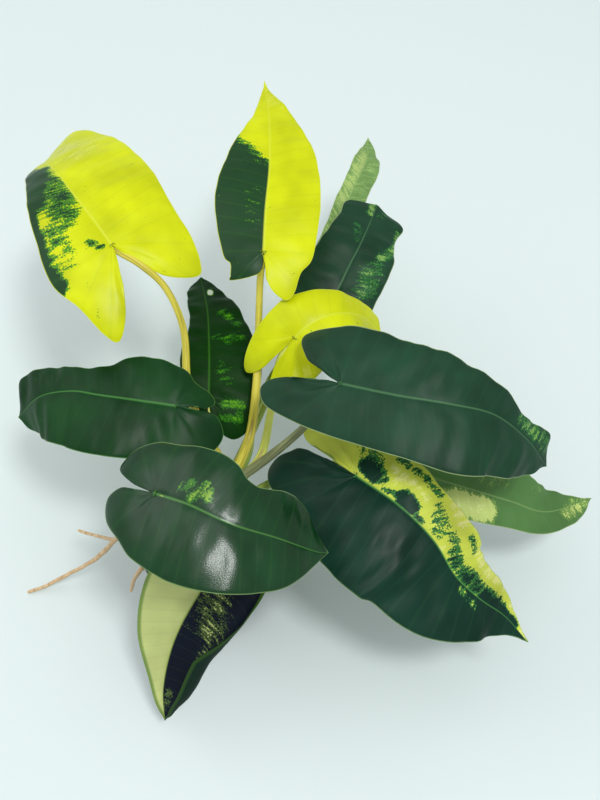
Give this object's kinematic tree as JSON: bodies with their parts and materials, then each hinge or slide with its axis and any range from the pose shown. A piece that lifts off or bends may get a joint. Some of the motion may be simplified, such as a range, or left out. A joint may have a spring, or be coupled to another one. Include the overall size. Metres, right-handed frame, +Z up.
{
  "type": "potted variegated burle marx philodendron",
  "caption": "Potted house plant: long heart-shaped leaves marbled dark green and lime on arching stalks from a short stem, with aerial roots over the rim of a plain pot.",
  "frame": {"origin": "centre of the pot's flat base, on the surface that the pot stands on", "axes": "+Z up, +X to the right and +Y away from the viewer as the plant is seen from the front"},
  "size_m": [0.3776, 0.3982, 0.2152],
  "materials": {
    "leaf_green": "gloss",
    "leaf_lime": "satin",
    "leaf_pale": "satin",
    "leaf_grey_green": "satin",
    "stem": "satin",
    "aerial_root": "matte",
    "potting_mix": "matte",
    "pot": "satin"
  },
  "bodies": {
    "root": {"leaf_upper_left": "leaf_lime", "leaf_upper_centre": "leaf_lime", "leaf_left": "leaf_green", "leaf_front": "leaf_green", "leaf_hanging_front": "leaf_pale", "leaf_lower_right": "leaf_green", "leaf_right": "leaf_green", "leaf_far_right": "leaf_grey_green", "leaf_centre": "leaf_lime", "leaf_back_right": "leaf_green", "leaf_far_back": "leaf_grey_green", "leaf_back_left": "leaf_green", "stem": "stem", "aerial_root_long": "aerial_root", "aerial_root_short": "aerial_root", "potting_mix": "potting_mix", "pot": "pot"}
  },
  "joints": []
}
